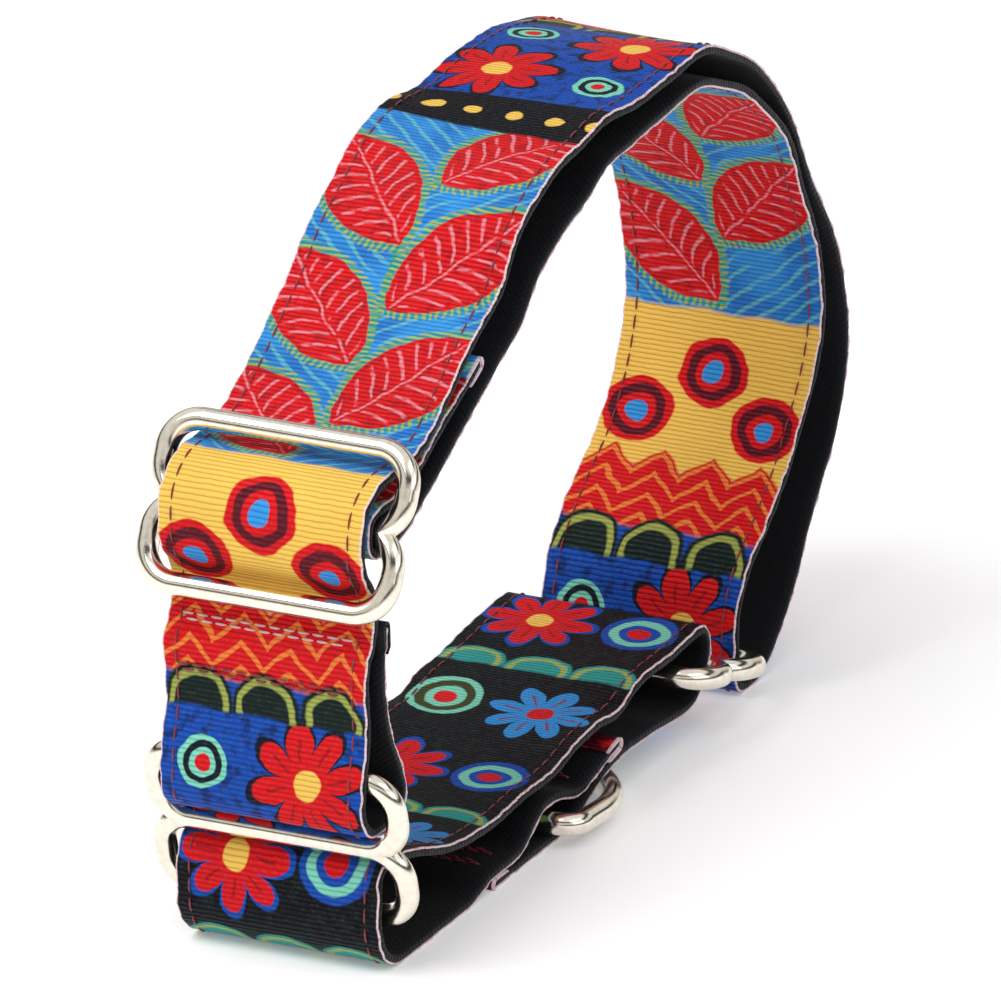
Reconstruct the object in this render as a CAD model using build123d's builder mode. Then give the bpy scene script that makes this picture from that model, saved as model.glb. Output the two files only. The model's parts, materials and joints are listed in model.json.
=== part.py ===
from build123d import *
import os
from math import atan2, cos, pi, radians, sin, tan

# A martingale dog collar: a main strap and a control strap, both of webbing faced with
# printed ribbon, joined by two cast slides, with a third slide as adjuster and a D-ring.
# X runs across the strap, Y along the collar from the adjuster to the far slide, Z up.
# The origin is on the floor, under the middle of the collar.

# ---- driving dimensions, in mm ----
STRAP_WIDTH = 38.0
PLY_HALF = 0.8             # half the thickness of webbing and ribbon together
RIBBON_THICKNESS = 0.4
LAYER_GAP = 0.05           # between the ribbon and the webbing that it is sewn to
BEND_SHARE = 0.45          # share of the shorter straight run that a bend may use

WIRE_RADIUS = 2.0          # cast wire of the slides and the D-ring
BAR_PITCH = 14.0           # between neighbouring bars of a slide
SLIDE_HALF_WIDTH = 22.5    # to the middle of a slide's side wire
LOBE_RADIUS = 6.0          # corners of a slide's lobes, at the middle of the wire

D_HALF_WIDTH = 23.5        # to the middle of the D-ring's side wire
D_LEG = 10.0               # straight side of the D-ring
D_CORNER_RADIUS = 3.5

SEAM_INSET = 2.6           # edge seam to the strap's edge
THREAD_WIDTH = 0.5
THREAD_HEIGHT = 0.15
ROW_HALF_WIDTH = 16.0      # half the length of a seam that crosses the strap

CENTRE_Y = 78.2            # the routes below start at the slider's side of the collar

# Routes of the straps' middle surfaces, as corners (y, z). The ribbon is on the left of a
# route, looking along it.
MAIN_ROUTE = (
    # folded end behind the first ply, then round the upper bar of the left ring
    (-10.2, 62.6), (-10.8, 54.0), (-8.4, 43.0), (-3.6, 35.0), (-3.2, 27.1), (-18.4, 27.1),
    (-18.1, 38.5), (-14.6, 48.0), (-15.6, 58.0),
    # through the slider, over its middle bar in a loose roll
    (-13.2, 63.5), (-13.5, 70.0), (-18.5, 75.0), (-18.2, 84.8), (-12.0, 88.8), (2.0, 88.6),
    # outer ply, up and over the top
    (22.0, 100.2), (33.5, 106.8), (42.5, 116.4), (58.0, 122.2), (80.0, 124.4), (100.0, 125.6),
    (118.0, 123.6), (134.0, 118.0),
    # outer ply, down the far side
    (147.0, 108.6), (156.0, 96.5), (164.0, 81.5), (172.5, 68.0), (176.4, 52.0), (173.5, 36.5),
    (163.0, 24.5), (155.0, 12.5), (145.0, 3.6),
    # round the outer bar of the right ring
    (139.5, 0.8), (130.4, 0.8), (130.4, 13.0), (132.6, 22.4), (145.0, 31.0),
    # inner ply, up the far side
    (154.6, 37.0), (162.6, 46.5), (166.6, 59.5), (164.0, 75.0), (155.5, 92.0), (145.0, 104.0),
    (132.0, 113.6),
    # inner ply, over the top
    (116.0, 118.2), (100.0, 119.4), (85.0, 117.6), (65.0, 112.2), (49.5, 106.4), (37.0, 97.0),
    (8.0, 82.4),
    # round the slider's middle bar, then the flap between the two plies
    (-4.0, 76.3), (-15.6, 76.6), (-15.6, 84.0), (-3.0, 84.2), (5.0, 87.2), (26.0, 97.5),
)
# first and last corner of each length of the main strap
MAIN_LENGTHS = {
    "ring_end": (0, 9),
    "slider_roll": (9, 15),
    "outer_ply_left": (15, 21),
    "outer_ply_bend": (21, 22),
    "outer_ply_right": (22, 32),
    "right_fold": (32, 37),
    "inner_ply_right": (37, 42),
    "inner_ply_bend": (42, 43),
    "inner_ply_left": (43, 51),
    "slider_end": (51, 56),
}
CONTROL_ROUTE = (
    # the end over the D-ring's bar, then along the floor
    (82.0, 9.0), (75.0, 7.4), (66.0, 4.9), (58.5, 8.1), (50.5, 8.1), (44.0, 2.9), (31.0, 2.8),
    (24.0, 0.8),
    # round the lower bar of the left ring
    (-12.1, 0.8), (-12.3, 20.8), (-2.0, 18.4),
    # upper ply
    (16.0, 13.9), (35.0, 12.2), (55.0, 12.6), (75.0, 14.4), (95.0, 16.9),
    # round the inner bar of the right ring
    (109.0, 17.8), (117.0, 18.6), (119.8, 14.0), (114.4, 5.2), (103.0, 5.6),
    # the end under the D-ring's bar
    (95.0, 6.4), (86.0, 7.0), (77.0, 6.0), (62.5, 0.8), (33.0, 0.8),
)
CONTROL_LENGTHS = {
    "pocket_upper": (0, 6),
    "control_lower_bend": (6, 7),
    "control_left_fold": (7, 11),
    "control_upper_ply": (11, 16),
    "control_right_fold": (16, 19),
    "control_lower_slack": (19, 21),
    "pocket_lower": (21, 25),
}

# middle bar of each slide (y, z) and the lean of its plane from vertical, in degrees
SLIDES = {
    "slider": (-12.0, 80.3, 26.0),
    "left_ring": (-11.2, 23.2, -15.5),
    "right_ring": (121.0, 9.0, -77.0),
}
# bar of the D-ring (y, z) and how far its plane drops below level, in degrees
D_BAR_Y, D_BAR_Z, D_DROP = 54.5, 4.4, 4.1

# seams along both edges: which lengths each sewn group follows
EDGE_SEAMS = {
    "edge_seams_left": (MAIN_ROUTE, ((0, 3), (5, 11), (11, 21), (43, 50))),
    "edge_seams_right": (MAIN_ROUTE, ((22, 31), (36, 42))),
    "edge_seams_control": (CONTROL_ROUTE, ((11, 16),)),
}
# seams across the strap: straight run, share of that run, and 1 on the ribbon's side or -1
CROSS_SEAMS = {
    "ring_end_seams": (MAIN_ROUTE, ((7, 0.45, 1), (8, 0.5, 1))),
    "slider_end_seams": (MAIN_ROUTE, ((55, 0.35, 1), (55, 0.8, 1))),
    "pocket_seams": (CONTROL_ROUTE, ((0, 0.5, -1), (1, 0.6, -1), (5, 0.4, -1), (5, 0.75, -1))),
}


# ---- strap geometry ----
def between(start, end, share):
    return (start[0] + (end[0] - start[0]) * share, start[1] + (end[1] - start[1]) * share)


def heading(start, end):
    return atan2(end[1] - start[1], end[0] - start[0])


def turn_at(route, i):
    """Signed turn at corner i, positive to the left."""
    turn = heading(route[i], route[i + 1]) - heading(route[i - 1], route[i])
    return (turn + pi) % (2 * pi) - pi


def run_length(route, i):
    return (Vector(*route[i + 1]) - Vector(*route[i])).length


def bend_radius(route, i):
    shorter = min(run_length(route, i - 1), run_length(route, i))
    return BEND_SHARE * shorter / tan(abs(turn_at(route, i)) / 2)


def shifted(point, angle, distance):
    """The point moved to the left of a heading."""
    return (point[0] - sin(angle) * distance, point[1] + cos(angle) * distance)


def parallel(route, first, last, distance):
    """Corners and radii of the line parallel to a route, from the middle of the run that
    starts at corner first to the middle of the run that starts at corner last. A length
    that holds an end of the route goes right to that end."""
    start = route[0] if first == 0 else between(route[first], route[first + 1], 0.5)
    final = last == len(route) - 1
    end = route[last] if final else between(route[last], route[last + 1], 0.5)
    inner = range(first + 1, last if final else last + 1)
    points = [shifted(start, heading(route[inner[0] - 1], route[inner[0]]), distance)]
    radii = []
    for i in inner:
        turn = turn_at(route, i)
        bisector = heading(route[i - 1], route[i]) + turn / 2
        points.append(shifted(route[i], bisector, distance / cos(turn / 2)))
        radii.append(bend_radius(route, i) - distance * (1 if turn > 0 else -1))
    points.append(shifted(end, heading(route[inner[-1]], route[inner[-1] + 1]), distance))
    return points, radii


def draw_ply(route, first, last, low, high):
    """Draws the closed outline between two lines parallel to a route, in a BuildSketch."""
    low_points, low_radii = parallel(route, first, last, low)
    high_points, high_radii = parallel(route, first, last, high)
    with BuildLine() as outline:
        FilletPolyline(*low_points, radius=low_radii)
        FilletPolyline(*high_points, radius=high_radii)
        Line(low_points[0], high_points[0])
        Line(low_points[-1], high_points[-1])
    make_face(outline.edges())


def section_plane(x):
    """The collar's side plane at x, with the routes' y and z as its own directions."""
    return Plane((x, -CENTRE_Y, 0), x_dir=(0, 1, 0), z_dir=(1, 0, 0))


def save(builder, name):
    builder.part.label = name
    export_step(builder.part, f"parts/{name}.step")


os.makedirs("parts", exist_ok=True)

# ---- straps: webbing and ribbon for each length ----
LAYERS = {
    "webbing": (-PLY_HALF, PLY_HALF - RIBBON_THICKNESS - LAYER_GAP),
    "ribbon": (PLY_HALF - RIBBON_THICKNESS, PLY_HALF),
}
for route, lengths in ((MAIN_ROUTE, MAIN_LENGTHS), (CONTROL_ROUTE, CONTROL_LENGTHS)):
    for length_name, (first, last) in lengths.items():
        for layer, (low, high) in LAYERS.items():
            with BuildPart() as ply:
                with BuildSketch(section_plane(-STRAP_WIDTH / 2)):
                    draw_ply(route, first, last, low, high)
                extrude(amount=STRAP_WIDTH)
            save(ply, f"{length_name}_{layer}")

# ---- seams along the edges ----
for name, (route, stretches) in EDGE_SEAMS.items():
    with BuildPart() as seams:
        for side in (-1, 1):
            middle = side * (STRAP_WIDTH / 2 - SEAM_INSET)
            for first, last in stretches:
                with BuildSketch(section_plane(middle - THREAD_WIDTH / 2)):
                    draw_ply(route, first, last, PLY_HALF, PLY_HALF + THREAD_HEIGHT)
                extrude(amount=THREAD_WIDTH)
    save(seams, name)

# ---- seams across the strap ----
for name, (route, rows) in CROSS_SEAMS.items():
    with BuildPart() as seams:
        for run, share, side in rows:
            foot = between(route[run], route[run + 1], share)
            angle = heading(route[run], route[run + 1])
            y, z = shifted(foot, angle, side * (PLY_HALF + THREAD_HEIGHT / 2))
            row_plane = Plane((0, y - CENTRE_Y, z), x_dir=(1, 0, 0),
                              z_dir=(0, -sin(angle), cos(angle)))
            with BuildSketch(row_plane.offset(-THREAD_HEIGHT / 2)):
                Rectangle(2 * ROW_HALF_WIDTH, THREAD_WIDTH)
            extrude(amount=THREAD_HEIGHT)
    save(seams, name)

# ---- cast slides: two lobes that share the middle bar ----
for name, (bar_y, bar_z, lean) in SLIDES.items():
    along = Vector(0, sin(radians(lean)), cos(radians(lean)))
    middle_bar = Vector(0, bar_y - CENTRE_Y, bar_z)
    with BuildPart() as slide:
        for side in (-1, 1):
            plane = Plane(middle_bar, x_dir=(1, 0, 0), z_dir=Vector(1, 0, 0).cross(along))
            with BuildLine(plane) as lobe:
                FilletPolyline(
                    (0, 0),
                    (SLIDE_HALF_WIDTH, 0),
                    (SLIDE_HALF_WIDTH, side * BAR_PITCH),
                    (-SLIDE_HALF_WIDTH, side * BAR_PITCH),
                    (-SLIDE_HALF_WIDTH, 0),
                    radius=(0, *[LOBE_RADIUS] * 4),
                    close=True,
                )
            with BuildSketch(Plane(middle_bar, x_dir=along, z_dir=(1, 0, 0))):
                Circle(WIRE_RADIUS)
            sweep(path=lobe.wires()[0])
    save(slide, name)

# ---- D-ring ----
away = Vector(0, cos(radians(D_DROP)), -sin(radians(D_DROP)))
d_bar = Vector(0, D_BAR_Y - CENTRE_Y, D_BAR_Z)
with BuildPart() as d_ring:
    plane = Plane(d_bar, x_dir=(1, 0, 0), z_dir=Vector(1, 0, 0).cross(away))
    with BuildLine(plane) as loop:
        FilletPolyline((0, 0), (D_HALF_WIDTH, 0), (D_HALF_WIDTH, D_LEG), radius=D_CORNER_RADIUS)
        ThreePointArc((D_HALF_WIDTH, D_LEG), (0, D_LEG + D_HALF_WIDTH), (-D_HALF_WIDTH, D_LEG))
        FilletPolyline((-D_HALF_WIDTH, D_LEG), (-D_HALF_WIDTH, 0), (0, 0), radius=D_CORNER_RADIUS)
    with BuildSketch(Plane(d_bar, x_dir=away, z_dir=(1, 0, 0))):
        Circle(WIRE_RADIUS)
    sweep(path=loop.wires()[0])
save(d_ring, "d_ring")
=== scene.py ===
"""A martingale dog collar: printed webbing straps, three cast slides and a D-ring."""

import json
import logging
import math
from dataclasses import dataclass, field
from enum import Enum
from typing import Iterable, Sequence

import bpy
import numpy as np
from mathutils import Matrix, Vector
from mathutils.kdtree import KDTree


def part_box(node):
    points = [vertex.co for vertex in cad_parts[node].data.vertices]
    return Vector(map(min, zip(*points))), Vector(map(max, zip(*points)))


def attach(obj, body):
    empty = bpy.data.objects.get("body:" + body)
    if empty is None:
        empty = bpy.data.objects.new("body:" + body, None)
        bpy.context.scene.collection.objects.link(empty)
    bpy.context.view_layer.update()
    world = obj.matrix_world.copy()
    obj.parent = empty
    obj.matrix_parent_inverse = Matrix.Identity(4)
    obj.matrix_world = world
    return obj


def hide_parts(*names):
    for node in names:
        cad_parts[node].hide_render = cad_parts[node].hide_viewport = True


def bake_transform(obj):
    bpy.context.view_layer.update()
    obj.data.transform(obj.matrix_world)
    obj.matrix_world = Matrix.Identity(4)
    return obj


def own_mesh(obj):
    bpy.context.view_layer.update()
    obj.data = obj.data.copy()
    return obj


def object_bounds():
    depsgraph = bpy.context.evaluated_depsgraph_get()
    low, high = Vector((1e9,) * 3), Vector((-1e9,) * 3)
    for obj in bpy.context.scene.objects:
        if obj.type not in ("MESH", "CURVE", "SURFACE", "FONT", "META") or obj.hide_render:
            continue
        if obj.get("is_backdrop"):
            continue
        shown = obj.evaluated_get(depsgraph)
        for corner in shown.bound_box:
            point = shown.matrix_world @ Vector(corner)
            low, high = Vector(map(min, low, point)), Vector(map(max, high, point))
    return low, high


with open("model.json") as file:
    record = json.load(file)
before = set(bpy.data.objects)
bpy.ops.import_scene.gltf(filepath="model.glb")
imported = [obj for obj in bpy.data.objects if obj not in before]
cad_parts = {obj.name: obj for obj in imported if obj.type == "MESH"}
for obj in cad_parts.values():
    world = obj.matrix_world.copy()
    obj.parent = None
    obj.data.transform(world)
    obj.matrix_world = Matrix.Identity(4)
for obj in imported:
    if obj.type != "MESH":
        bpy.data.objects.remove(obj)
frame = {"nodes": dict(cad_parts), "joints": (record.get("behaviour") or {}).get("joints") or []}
LOG = logging.getLogger("collar")

MM = 0.001
PER_METRE = 1000.0
HALF_WIDTH = 19.0 * MM
LEAF_TURN = 40.0
MAIN_REPEAT, CONTROL_REPEAT = 188.0, 60.0
MAIN_LEAD, CONTROL_LEAD = 62.0, 18.0
SCALLOP_PITCH = 12.6
CROSS_STITCH = 2.7 * MM
MIX_FACTOR, MIX_UNDER, MIX_OVER, MIX_RESULT = 0, 6, 7, 2
Colour = tuple[float, float, float]
Face = tuple[int, ...]
Array = np.ndarray
Tree, Node, Socket = bpy.types.NodeTree, bpy.types.Node, bpy.types.NodeSocket
Look, Thing = bpy.types.Material, bpy.types.Object

MAIN_ORDER = (
    "ring_end", "slider_roll", "outer_ply_left", "outer_ply_bend", "outer_ply_right",
    "right_fold", "inner_ply_right", "inner_ply_bend", "inner_ply_left", "slider_end",
)
CONTROL_ORDER = (
    "pocket_upper", "control_lower_bend", "control_left_fold", "control_upper_ply",
    "control_right_fold", "control_lower_slack", "pocket_lower",
)
HARDWARE = ("slider", "left_ring", "right_ring", "d_ring")


class Layer(Enum):
    """The two layers that are sewn together into a strap."""

    WEBBING = "webbing"
    RIBBON = "ribbon"


class Follow(Enum):
    """How a soft piece is placed: left where it lies, or tied to the left half of the collar."""

    BEND = "bends from the left half to the right half"
    SHORTEN = "draws in towards the left fold"


def dye(code: str) -> Colour:
    """The linear colour of a dye given as six hexadecimal digits.

    Args:
        code: Red, green and blue, two digits each.

    Returns:
        The colour in linear light.
    """
    shares = [int(code[i:i + 2], 16) / 255 for i in (0, 2, 4)]
    return tuple(c / 12.92 if c <= 0.04045 else ((c + 0.055) / 1.055) ** 2.4 for c in shares)


# ---- node building ----
class Field:
    """A number that varies over a surface, made by Math nodes."""

    def __init__(self, tree: Tree, socket: Socket) -> None:
        """Wraps an output socket."""
        self.tree = tree
        self.socket = socket

    def calc(self, operation: str, *others: "Field | float", clamp: bool = False) -> "Field":
        """Adds one Math node.

        Args:
            operation: Blender's name of the operation.
            others: The operands after this one.
            clamp: Whether to keep the result between 0 and 1.

        Returns:
            The result.
        """
        node = self.tree.nodes.new("ShaderNodeMath")
        node.operation = operation
        node.use_clamp = clamp
        for slot, operand in zip(node.inputs, (self, *others)):
            if isinstance(operand, Field):
                self.tree.links.new(operand.socket, slot)
            else:
                slot.default_value = operand
        return Field(self.tree, node.outputs[0])

    def __add__(self, other: "Field | float") -> "Field":
        """This plus the other."""
        return self.calc("ADD", other)

    def __sub__(self, other: "Field | float") -> "Field":
        """This minus the other."""
        return self.calc("SUBTRACT", other)

    def __mul__(self, other: "Field | float") -> "Field":
        """This times the other."""
        return self.calc("MULTIPLY", other)

    def __truediv__(self, other: "Field | float") -> "Field":
        """This divided by the other."""
        return self.calc("DIVIDE", other)

    def size(self) -> "Field":
        """This without its sign."""
        return self.calc("ABSOLUTE")

    def high(self, other: "Field | float") -> "Field":
        """The larger of the two."""
        return self.calc("MAXIMUM", other)

    def wave(self, pitch: float) -> "Field":
        """Distance to the middle of the nearest period, from 0 to half the pitch."""
        return self.calc("PINGPONG", pitch / 2)

    def under(self, limit: "Field | float", soft: float = 0.3) -> "Field":
        """A mask that is 1 where this lies under a limit.

        Args:
            limit: Where the mask is half way.
            soft: The width of the mask's edge.

        Returns:
            The mask.
        """
        return (self - limit).calc("MULTIPLY_ADD", -1 / soft, 0.5, clamp=True)

    def over(self, limit: "Field | float", soft: float = 0.3) -> "Field":
        """A mask that is 1 where this lies over a limit, with an edge as wide as soft."""
        return (self - limit).calc("MULTIPLY_ADD", 1 / soft, 0.5, clamp=True)

    def reach(self, other: "Field") -> "Field":
        """The length of the line whose two sides are this and the other."""
        return (self * self + other * other).calc("SQRT")


class Group:
    """A shader node group under construction."""

    def __init__(self, name: str, inputs: dict[str, float], outputs: dict[str, str]) -> None:
        """Makes the group and its sockets.

        Args:
            name: The group's name.
            inputs: Each number that goes in, with its usual value.
            outputs: Each output with its kind, Float or Color.
        """
        self.tree = bpy.data.node_groups.new(name, "ShaderNodeTree")
        for label, value in inputs.items():
            socket = self.tree.interface.new_socket(
                label, in_out="INPUT", socket_type="NodeSocketFloat")
            socket.default_value = value
        for label, kind in outputs.items():
            self.tree.interface.new_socket(
                label, in_out="OUTPUT", socket_type=f"NodeSocket{kind}")
        self.entry = self.tree.nodes.new("NodeGroupInput")
        self.exit = self.tree.nodes.new("NodeGroupOutput")

    def take(self, label: str) -> Field:
        """One of the group's inputs."""
        return Field(self.tree, self.entry.outputs[label])

    def give(self, **results: Field) -> Tree:
        """Links the outputs, whose names have underscores for spaces.

        Args:
            results: The value of each output.

        Returns:
            The finished group.
        """
        for label, result in results.items():
            self.tree.links.new(result.socket, self.exit.inputs[label.replace("_", " ")])
        return self.tree


def place_group(
    tree: Tree, group: Tree, **values: "Field | float"
) -> dict[str, Field]:
    """Places a node group in a tree.

    Args:
        tree: The material's tree, or another group's.
        group: The group to place.
        values: Each input, whose name has underscores for spaces.

    Returns:
        The group's outputs by name.
    """
    node = tree.nodes.new("ShaderNodeGroup")
    node.node_tree = group
    for label, value in values.items():
        socket = node.inputs[label.replace("_", " ")]
        if isinstance(value, Field):
            tree.links.new(value.socket, socket)
        else:
            socket.default_value = value
    return {output.name: Field(tree, output) for output in node.outputs}


def noise_at(tree: Tree, spot: Socket, scale: float,
             detail: float) -> Field:
    """Cloudy noise at a place, from 0 to 1.

    Args:
        tree: Where the nodes go.
        spot: The place.
        scale: Clouds to the unit of the place.
        detail: How many finer layers are added.

    Returns:
        The noise.
    """
    cloud = tree.nodes.new("ShaderNodeTexNoise")
    cloud.inputs["Scale"].default_value = scale
    cloud.inputs["Detail"].default_value = detail
    tree.links.new(spot, cloud.inputs["Vector"])
    return Field(tree, cloud.outputs[0])


def noise(tree: Tree, along: Field, across: Field, scale: float,
          detail: float = 3.0) -> Field:
    """Cloudy noise over a strap's length and width, from 0 to 1.

    Args:
        tree: Where the nodes go.
        along: Place along the strap.
        across: Place across the strap.
        scale: Clouds to the unit of along.
        detail: How many finer layers are added.

    Returns:
        The noise.
    """
    spot = tree.nodes.new("ShaderNodeCombineXYZ")
    tree.links.new(along.socket, spot.inputs[0])
    tree.links.new(across.socket, spot.inputs[1])
    return noise_at(tree, spot.outputs[0], scale, detail)


class Paint:
    """A colour built up in layers, each laid over the last through a mask."""

    def __init__(self, tree: Tree, ground: "str | Field") -> None:
        """Starts with a dye or a colour all over.

        Args:
            tree: Where the nodes go.
            ground: The first colour.
        """
        self.tree = tree
        self.colour = ground

    def lay(self, colour: "str | Field", mask: Field, share: float = 1.0) -> None:
        """Lays a colour over the ones before it.

        Args:
            colour: A dye, or another field that gives a colour.
            mask: Where the colour shows.
            share: How well it covers.
        """
        mix = self.tree.nodes.new("ShaderNodeMix")
        mix.data_type = "RGBA"
        covered = mask if share == 1.0 else mask * share
        self.tree.links.new(covered.socket, mix.inputs[MIX_FACTOR])
        for number, shown in ((MIX_UNDER, self.colour), (MIX_OVER, colour)):
            if isinstance(shown, Field):
                self.tree.links.new(shown.socket, mix.inputs[number])
            else:
                mix.inputs[number].default_value = (*dye(shown), 1.0)
        self.colour = Field(self.tree, mix.outputs[MIX_RESULT])


# ---- printed motifs, all in millimetres of strap ----
@dataclass(frozen=True)
class Spot:
    """Where a motif lies on the ribbon, which way it points and how big it is."""

    along: float
    across: float
    turn: float = 0.0
    size: tuple[tuple[str, float], ...] = ()

    def local(self, along: Field, across: Field) -> tuple[Field, Field]:
        """Coordinates along and across the motif.

        Args:
            along: Place along the strap.
            across: Place across the strap.

        Returns:
            Distance along the motif from its foot, and distance to its side.
        """
        u = along - self.along
        v = across - self.across
        c, s = math.cos(math.radians(self.turn)), math.sin(math.radians(self.turn))
        return u * c + v * s, v * c - u * s


def leaf_group() -> Tree:
    """A pointed leaf with a midrib and slanting veins.

    Returns:
        The node group.
    """
    g = Group("leaf", {"X": 0, "Y": 0, "Length": 20, "Width": 6},
              {"Body": "Float", "Veins": "Float", "Rim": "Float", "Fringe": "Float"})
    x, side, length, width = g.take("X"), g.take("Y").size(), g.take("Length"), g.take("Width")
    half = length * 0.5
    sink = (half * half - width * width) / (width * 2.0)
    edge = (x - half).reach(side + sink) - (width + sink)
    barb = (x - side * 0.9 + (side * side) * 0.05).wave(3.0).over(1.18, 0.28)
    inner = edge.under(-1.1, 0.5) * side.over(0.8, 0.3)
    rib = side.under(0.22, 0.25) * edge.under(-0.6, 0.6)
    return g.give(Body=edge.under(0.0), Veins=(barb * inner).high(rib),
                  Rim=(edge - 0.5).size().under(0.75, 0.4),
                  Fringe=(edge - 0.6).size().under(0.9, 0.5)
                  * (x + side * 0.7).wave(1.5).over(0.42, 0.2))


def rings_group() -> Tree:
    """A round spot with a ring and a core.

    Returns:
        The node group.
    """
    g = Group("rings", {"X": 0, "Y": 0, "Radius": 6},
              {"Disc": "Float", "Ring": "Float", "Core": "Float"})
    share = g.take("X").reach(g.take("Y")) / g.take("Radius")
    return g.give(Disc=share.under(1.0, 0.05), Ring=(share - 0.66).size().under(0.13, 0.05),
                  Core=share.under(0.3, 0.05))


def daisy_group() -> Tree:
    """A round flower of plain petals.

    Returns:
        The node group.
    """
    g = Group("daisy", {"X": 0, "Y": 0, "Radius": 10, "Petals": 8},
              {"Petal": "Float", "Halo": "Float", "Crease": "Float", "Core": "Float"})
    x, y, radius = g.take("X"), g.take("Y"), g.take("Radius")
    far = x.reach(y)
    lobe = (y.calc("ARCTAN2", x) * g.take("Petals") * 0.5).calc("COSINE").size()
    edge = far - radius * (lobe.calc("POWER", 0.6) * 0.62 + 0.38)
    return g.give(Petal=edge.under(0.0), Halo=edge.under(1.2, 0.4),
                  Crease=lobe.over(0.985, 0.02) * (far - radius * 0.55).size().under(1.9),
                  Core=(far - radius * 0.24).under(0.0))


def scallop_group() -> Tree:
    """A row of half rounds with a rim.

    Returns:
        The node group.
    """
    g = Group("scallop", {"Along": 0, "Across": 0, "Pitch": 9, "Depth": 6},
              {"Body": "Float", "Rim": "Float"})
    pitch = g.take("Pitch")
    side = g.take("Across").calc("PINGPONG", pitch * 0.5)
    radius = (side / pitch * 2.0).reach((g.take("Along") / g.take("Depth")).high(0.0))
    return g.give(Body=radius.under(1.0, 0.08), Rim=(radius - 0.78).size().under(0.09, 0.06))


def grosgrain_group() -> Tree:
    """Cross ribs of grosgrain ribbon.

    Returns:
        The node group.
    """
    g = Group("grosgrain", {"Along": 0, "Across": 0, "Pitch": 0.9},
              {"Height": "Float", "Groove": "Float"})
    u, v = g.take("Along"), g.take("Across")
    shift = noise(g.tree, u, v, 0.35, 1.0) * 0.35
    phase = (u + shift) / g.take("Pitch")
    rib = (phase * math.pi).calc("SINE").size()
    thread = (v * 14.0 + (phase * math.pi).calc("FLOOR") * 1.7).calc("SINE")
    # Groove masks the low ground between the ribs, where the finish paints shade
    return g.give(Height=rib.calc("POWER", 0.6) + thread * 0.05,
                  Groove=rib.under(0.35, 0.6))


def weave_group() -> Tree:
    """Plain weave of webbing or thread.

    Returns:
        The node group.
    """
    g = Group("weave", {"Along": 0, "Across": 0, "Pitch": 0.8},
              {"Height": "Float", "Shade": "Float"})
    u, v, pitch = g.take("Along"), g.take("Across"), g.take("Pitch")
    a = (u / pitch * math.pi).calc("SINE")
    b = (v / pitch * math.pi).calc("SINE")
    cross = (a * b).calc("MULTIPLY_ADD", 0.5, 0.5)
    slub = noise(g.tree, u, v, 1.6, 2.0)
    return g.give(Height=cross + slub * 0.35, Shade=cross * 0.5 + slub * 0.5)


def wear_group() -> Tree:
    """Fading and handling marks: broad clouds, fine grains and rubbed edges.

    Returns:
        The node group.
    """
    g = Group("wear", {"Along": 0, "Across": 0, "Half width": 19},
              {"Fade": "Float", "Grain": "Float", "Edge": "Float"})
    u, v = g.take("Along"), g.take("Across")
    broad = noise(g.tree, u, v, 0.06, 2.0)
    fine = noise(g.tree, u, v, 1.1, 4.0)
    rub = (v.size() - (g.take("Half width") - 0.9)).over(0.0, 1.6)
    return g.give(Fade=broad, Grain=fine, Edge=rub * fine)


class Motifs:
    """The node groups that the finishes share, each built once."""

    def __init__(self) -> None:
        """Builds every group."""
        self.leaf = leaf_group()
        self.rings = rings_group()
        self.daisy = daisy_group()
        self.scallop = scallop_group()
        self.grosgrain = grosgrain_group()
        self.weave = weave_group()
        self.wear = wear_group()


class Dye:
    """The ribbon's dyes."""

    RED = "D9131A"
    DEEP_RED = "970D18"
    MAROON = "5E1020"
    ROSE = "F4A6B4"
    PINK = "F7D3D3"
    SKY = "3596E2"
    ROYAL = "124CAF"
    NAVY = "0B1526"
    BLACK = "060912"
    MINT = "7FD6BE"
    TEAL = "2F9C97"
    YELLOW = "F8C95C"
    ORANGE = "F08A3C"
    OLIVE = "3F4420"
    LIME = "A9B458"
    FOREST = "10231F"


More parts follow.
